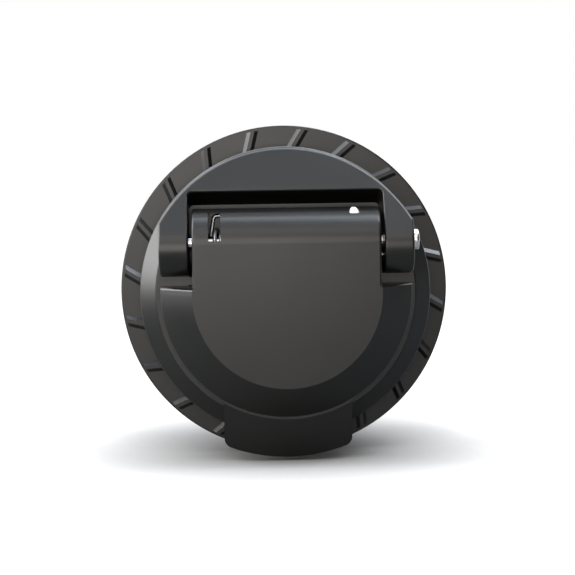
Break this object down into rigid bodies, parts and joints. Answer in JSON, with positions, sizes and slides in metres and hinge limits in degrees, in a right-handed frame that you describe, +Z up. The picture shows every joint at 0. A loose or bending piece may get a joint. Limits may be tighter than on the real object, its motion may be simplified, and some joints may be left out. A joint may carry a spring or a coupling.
{
  "type": "usb panel mount port",
  "caption": "Round black panel mount USB port with a spring-loaded flap lid, a threaded barrel and a ribbed lock nut.",
  "frame": {"origin": "on the barrel's axis, in the plane of the panel's front face, which is the flange's back face", "axes": "+Y runs along the barrel from the panel to the cord's inlet, so the lid faces -Y; +Z is up, towards the hinge; +X is to the right seen from the front"},
  "size_m": [0.0414, 0.0432, 0.0414],
  "materials": {
    "body_plastic": "black nylon moulding with a fine satin grain",
    "insert_plastic": "smooth black moulding",
    "soft_rubber": "soft black rubber",
    "spring_steel": "drawn stainless spring wire",
    "polished_steel": "ground and polished stainless steel",
    "plated_steel": "nickel-plated steel",
    "white_plastic": "white glass-filled moulding",
    "gilt_brass": "gold-flashed contact brass",
    "board_laminate": "green solder mask on glass laminate",
    "chip_resin": "moulded black resin",
    "can_aluminium": "drawn aluminium can"
  },
  "bodies": {
    "housing": {"housing": "body_plastic", "hinge_spring": "spring_steel", "hinge_pin": "polished_steel", "port_insert": "insert_plastic", "insert_ring": "soft_rubber", "usb_shell": "plated_steel", "usb_tongue": "white_plastic", "usb_contacts": "gilt_brass", "circuit_board": "board_laminate", "board_chip": "chip_resin", "board_capacitors": "can_aluminium", "header_body": "white_plastic", "header_pins": "gilt_brass", "panel_gasket": "soft_rubber", "rear_cap": "body_plastic", "cap_ring": "soft_rubber", "cap_screws": "plated_steel", "inlet_grommet": "soft_rubber"},
    "lid": {"lid": "body_plastic", "lid_seal": "soft_rubber", "spring_stop": "polished_steel"},
    "nut_carrier": {"nut_washer": "plated_steel"},
    "nut": {"lock_nut": "body_plastic"}
  },
  "joints": [
    {"name": "lid_hinge", "type": "hinge", "parent": "housing", "child": "lid", "pos_m": [0, -0.00604, 0.0064], "axis": [-1, 0, 0], "range_deg": [0, 134], "stiffness_Nm_per_rad": 0.0053, "springref_deg": -57.3, "deforming": ["hinge_spring"]},
    {"name": "nut_slide", "type": "slide", "parent": "housing", "child": "nut_carrier", "axis": [0, 1, 0], "range_m": [-0.0016, 0.0124]},
    {"name": "nut_spin", "type": "hinge", "parent": "nut_carrier", "child": "nut", "pos_m": [0, 0, 0], "axis": [0, 1, 0], "range_deg": [-385, 2977]}
  ],
  "couplings": [
    {"joint": "nut_spin", "follows": "nut_slide", "rad_per_m": 4188.8}
  ]
}
